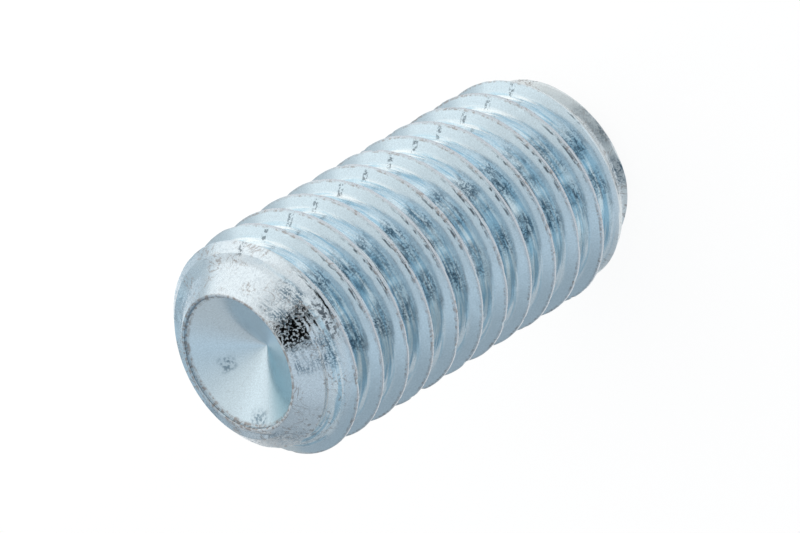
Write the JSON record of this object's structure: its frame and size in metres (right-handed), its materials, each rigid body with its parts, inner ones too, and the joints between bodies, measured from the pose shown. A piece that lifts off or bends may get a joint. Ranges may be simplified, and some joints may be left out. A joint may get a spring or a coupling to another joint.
{
  "type": "hexagon socket set screw",
  "caption": "Headless threaded steel set screw with a hexagon drive socket in one end and a hollow cup point on the other.",
  "frame": {"origin": "centre of the flat face at the socket end", "axes": "+Z along the screw's axis, from the socket end to the cup point. The right-hand thread's groove leaves the socket end 97 degrees clockwise of +X, seen from the cup point."},
  "size_m": [0.008, 0.008, 0.016],
  "materials": {
    "zinc_plated_steel": "bright zinc plate with a clear blue passivation, satin in the thread roots, with scuffed crests and a nicked cup rim"
  },
  "bodies": {
    "root": {"set_screw": "zinc_plated_steel"}
  },
  "joints": []
}
